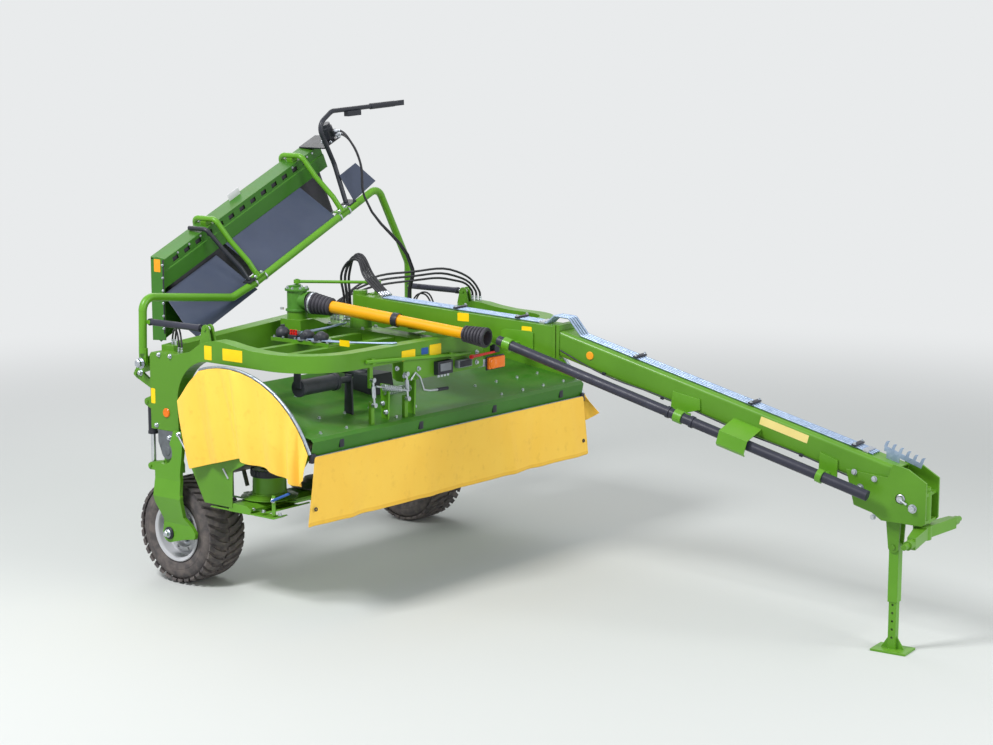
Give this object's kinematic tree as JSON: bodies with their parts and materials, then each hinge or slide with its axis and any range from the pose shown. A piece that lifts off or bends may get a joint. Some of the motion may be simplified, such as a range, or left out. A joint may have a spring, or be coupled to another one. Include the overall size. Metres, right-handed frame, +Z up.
{
  "type": "trailed mower",
  "caption": "Centre-pivot trailed mower with a conditioner, cloth side and front curtains, an arched drawbar and a swath conveyor swung up behind.",
  "frame": {"origin": "on the floor under the middle of the bounding box", "axes": "+X forward along the direction of travel, +Y to the left, +Z up"},
  "size_m": [5.9559, 3.2, 3.4525],
  "materials": {
    "green_paint": "semi-gloss green paint",
    "dark_green_paint": "semi-gloss dark green paint",
    "bright_green_paint": "semi-gloss light green paint",
    "curtain_cloth": "matt coated yellow cloth",
    "guard_yellow": "smooth yellow plastic",
    "galvanised": "dull zinc",
    "bright_steel": "polished",
    "black_paint": "satin black paint",
    "tyre": "worn tread rubber",
    "rim_silver": "silver paint",
    "slate_sheet": "matt slate paint",
    "belt_rubber": "matt belt rubber",
    "boot_rubber": "matt rubber",
    "bare_cast": "bare grey casting",
    "rotor_steel": "worn steel",
    "gear_cast": "painted casting"
  },
  "bodies": {
    "chassis": {"carrier_frame": "green_paint", "centre_mast": "green_paint", "header_hood": "green_paint", "side_shields": "dark_green_paint", "cutter_bar": "dark_green_paint", "conditioner_housing": "dark_green_paint", "front_curtain": "curtain_cloth", "side_curtain_right": "curtain_cloth", "side_curtain_left": "curtain_cloth", "curtain_rails": "galvanised", "header_suspension": "bright_green_paint", "arm_bearings": "bare_cast", "drop_gearbox": "black_paint", "accumulators": "black_paint"},
    "conditioner": {"conditioner_rotor": "rotor_steel"},
    "cutting_rotor_1": {"rotor_1": "rotor_steel"},
    "cutting_rotor_2": {"rotor_2": "rotor_steel"},
    "cutting_rotor_3": {"rotor_3": "rotor_steel"},
    "cutting_rotor_4": {"rotor_4": "rotor_steel"},
    "cutting_rotor_5": {"rotor_5": "rotor_steel"},
    "cutting_rotor_6": {"rotor_6": "rotor_steel"},
    "wheel_arm_right": {"wheel_arm_right": "bright_green_paint"},
    "wheel_right": {"rim_right": "rim_silver", "tyre_right": "tyre", "hub_right": "black_paint"},
    "lift_barrel_right": {"lift_barrel_right": "black_paint"},
    "lift_rod_right": {"lift_rod_right": "bright_steel"},
    "wheel_arm_left": {"wheel_arm_left": "bright_green_paint"},
    "wheel_left": {"rim_left": "rim_silver", "tyre_left": "tyre", "hub_left": "black_paint"},
    "lift_barrel_left": {"lift_barrel_left": "black_paint"},
    "lift_rod_left": {"lift_rod_left": "bright_steel"},
    "drawbar": {"drawbar_beam": "green_paint", "drawbar_pipes": "galvanised", "drive_tube": "black_paint", "tube_brackets": "bright_green_paint", "drawbar_head": "green_paint"},
    "swivel_drive": {"swivel_gearbox": "gear_cast", "shaft_boot_rear": "boot_rubber", "guard_outer": "guard_yellow"},
    "telescopic_shaft": {"guard_inner": "guard_yellow", "shaft_boot_front": "boot_rubber"},
    "steering_link": {"steering_rod": "bright_green_paint"},
    "hitch": {"hitch_yoke": "green_paint"},
    "stand": {"parking_stand": "bright_green_paint"},
    "swing_barrel": {"swing_barrel": "green_paint"},
    "swing_rod": {"swing_rod": "bright_steel"},
    "conveyor": {"conveyor_frame": "bright_green_paint", "conveyor_hoops": "bright_green_paint", "conveyor_trough": "dark_green_paint", "conveyor_belt": "belt_rubber", "conveyor_rollers": "galvanised", "conveyor_cover": "slate_sheet", "flap_tube": "black_paint"},
    "conveyor_barrel_right": {"conveyor_barrel_right": "black_paint"},
    "conveyor_rod_right": {"conveyor_rod_right": "bright_steel"},
    "conveyor_barrel_left": {"conveyor_barrel_left": "black_paint"},
    "conveyor_rod_left": {"conveyor_rod_left": "bright_steel"}
  },
  "joints": [
    {"name": "conditioner_spin", "type": "hinge", "parent": "chassis", "child": "conditioner", "pos_m": [-1.7629, 0, 0.95], "axis": [0, 1, 0], "continuous": true},
    {"name": "rotor_1_spin", "type": "hinge", "parent": "chassis", "child": "cutting_rotor_1", "pos_m": [-1.4129, -1.24, 0.74], "axis": [0, 0, 1], "continuous": true},
    {"name": "rotor_2_spin", "type": "hinge", "parent": "chassis", "child": "cutting_rotor_2", "pos_m": [-1.4129, -0.744, 0.74], "axis": [0, 0, 1], "continuous": true},
    {"name": "rotor_3_spin", "type": "hinge", "parent": "chassis", "child": "cutting_rotor_3", "pos_m": [-1.4129, -0.248, 0.74], "axis": [0, 0, 1], "continuous": true},
    {"name": "rotor_4_spin", "type": "hinge", "parent": "chassis", "child": "cutting_rotor_4", "pos_m": [-1.4129, 0.248, 0.74], "axis": [0, 0, 1], "continuous": true},
    {"name": "rotor_5_spin", "type": "hinge", "parent": "chassis", "child": "cutting_rotor_5", "pos_m": [-1.4129, 0.744, 0.74], "axis": [0, 0, 1], "continuous": true},
    {"name": "rotor_6_spin", "type": "hinge", "parent": "chassis", "child": "cutting_rotor_6", "pos_m": [-1.4129, 1.24, 0.74], "axis": [0, 0, 1], "continuous": true},
    {"name": "wheel_arm_right_lift", "type": "hinge", "parent": "chassis", "child": "wheel_arm_right", "pos_m": [-2.2129, -1.425, 1], "axis": [0, 1, 0], "range_deg": [0, 48]},
    {"name": "wheel_right_roll", "type": "hinge", "parent": "wheel_arm_right", "child": "wheel_right", "pos_m": [-2.2129, -1.252, 0.39], "axis": [0, 1, 0], "continuous": true},
    {"name": "lift_barrel_right_tilt", "type": "hinge", "parent": "chassis", "child": "lift_barrel_right", "pos_m": [-2.4179, -1.425, 1.34], "axis": [0, 1, 0], "range_deg": [0, 7.5]},
    {"name": "lift_rod_right_slide", "type": "slide", "parent": "lift_barrel_right", "child": "lift_rod_right", "axis": [0, 0, 1], "range_m": [0, 0.205]},
    {"name": "wheel_arm_left_lift", "type": "hinge", "parent": "chassis", "child": "wheel_arm_left", "pos_m": [-2.2129, 1.425, 1], "axis": [0, 1, 0], "range_deg": [0, 48]},
    {"name": "wheel_left_roll", "type": "hinge", "parent": "wheel_arm_left", "child": "wheel_left", "pos_m": [-2.2129, 1.252, 0.39], "axis": [0, 1, 0], "continuous": true},
    {"name": "lift_barrel_left_tilt", "type": "hinge", "parent": "chassis", "child": "lift_barrel_left", "pos_m": [-2.4179, 1.425, 1.34], "axis": [0, 1, 0], "range_deg": [0, 7.5]},
    {"name": "lift_rod_left_slide", "type": "slide", "parent": "lift_barrel_left", "child": "lift_rod_left", "axis": [0, 0, 1], "range_m": [0, 0.205]},
    {"name": "drawbar_swing", "type": "hinge", "parent": "chassis", "child": "drawbar", "pos_m": [-1.6589, 0, 1.9], "axis": [0, 0, 1], "range_deg": [-32, 22]},
    {"name": "swivel_drive_turn", "type": "hinge", "parent": "chassis", "child": "swivel_drive", "pos_m": [-2.0329, -0.3, 1.9], "axis": [0, 0, 1], "range_deg": [-26, 18]},
    {"name": "telescopic_shaft_slide", "type": "slide", "parent": "swivel_drive", "child": "telescopic_shaft", "axis": [0.9893, 0.1123, -0.093], "range_m": [-0.14, 0.1]},
    {"name": "steering_link_turn", "type": "hinge", "parent": "swivel_drive", "child": "steering_link", "pos_m": [-2.1229, -0.205, 2.125], "axis": [0, 0, 1], "range_deg": [-13, 19]},
    {"name": "hitch_turn", "type": "hinge", "parent": "drawbar", "child": "hitch", "pos_m": [2.8439, 0.39394, 0.82], "axis": [0, 0, 1], "range_deg": [-65, 65]},
    {"name": "stand_fold", "type": "hinge", "parent": "drawbar", "child": "stand", "pos_m": [2.66957, 0.37869, 0.7], "axis": [-0.0872, 0.9962, 0], "range_deg": [0, 92]},
    {"name": "swing_barrel_turn", "type": "hinge", "parent": "chassis", "child": "swing_barrel", "pos_m": [-2.0929, 0.4, 1.84], "axis": [0, 0, 1], "range_deg": [-15, 10]},
    {"name": "swing_rod_slide", "type": "slide", "parent": "swing_barrel", "child": "swing_rod", "axis": [0.9717, -0.2363, 0], "range_m": [-0.12, 0.17]},
    {"name": "conveyor_swing", "type": "hinge", "parent": "chassis", "child": "conveyor", "pos_m": [-2.4629, 0, 1.62], "axis": [0, 1, 0], "range_deg": [-90, 0]},
    {"name": "conveyor_barrel_right_tilt", "type": "hinge", "parent": "conveyor", "child": "conveyor_barrel_right", "pos_m": [-2.4129, -1.425, 1.92], "axis": [0, 1, 0], "range_deg": [0, 75.4]},
    {"name": "conveyor_rod_right_slide", "type": "slide", "parent": "conveyor_barrel_right", "child": "conveyor_rod_right", "axis": [1, 0, 0], "range_m": [0, 0.383]},
    {"name": "conveyor_barrel_left_tilt", "type": "hinge", "parent": "conveyor", "child": "conveyor_barrel_left", "pos_m": [-2.4129, 1.425, 1.92], "axis": [0, 1, 0], "range_deg": [0, 75.4]},
    {"name": "conveyor_rod_left_slide", "type": "slide", "parent": "conveyor_barrel_left", "child": "conveyor_rod_left", "axis": [1, 0, 0], "range_m": [0, 0.383]}
  ],
  "couplings": [
    {"joint": "lift_barrel_right_tilt", "follows": "wheel_arm_right_lift", "ratio": 0.152},
    {"joint": "lift_rod_right_slide", "follows": "wheel_arm_right_lift", "m_per_rad": 0.2368},
    {"joint": "lift_barrel_left_tilt", "follows": "wheel_arm_left_lift", "ratio": 0.152},
    {"joint": "lift_rod_left_slide", "follows": "wheel_arm_left_lift", "m_per_rad": 0.2368},
    {"joint": "swivel_drive_turn", "follows": "drawbar_swing", "ratio": 0.7747},
    {"joint": "telescopic_shaft_slide", "follows": "drawbar_swing", "m_per_rad": 0.24},
    {"joint": "steering_link_turn", "follows": "drawbar_swing", "ratio": -0.5543},
    {"joint": "swing_barrel_turn", "follows": "drawbar_swing", "ratio": 0.4229},
    {"joint": "swing_rod_slide", "follows": "drawbar_swing", "m_per_rad": -0.2861},
    {"joint": "conveyor_barrel_right_tilt", "follows": "conveyor_swing", "ratio": -0.837},
    {"joint": "conveyor_rod_right_slide", "follows": "conveyor_swing", "m_per_rad": -0.2432},
    {"joint": "conveyor_barrel_left_tilt", "follows": "conveyor_swing", "ratio": -0.837},
    {"joint": "conveyor_rod_left_slide", "follows": "conveyor_swing", "m_per_rad": -0.2432}
  ]
}
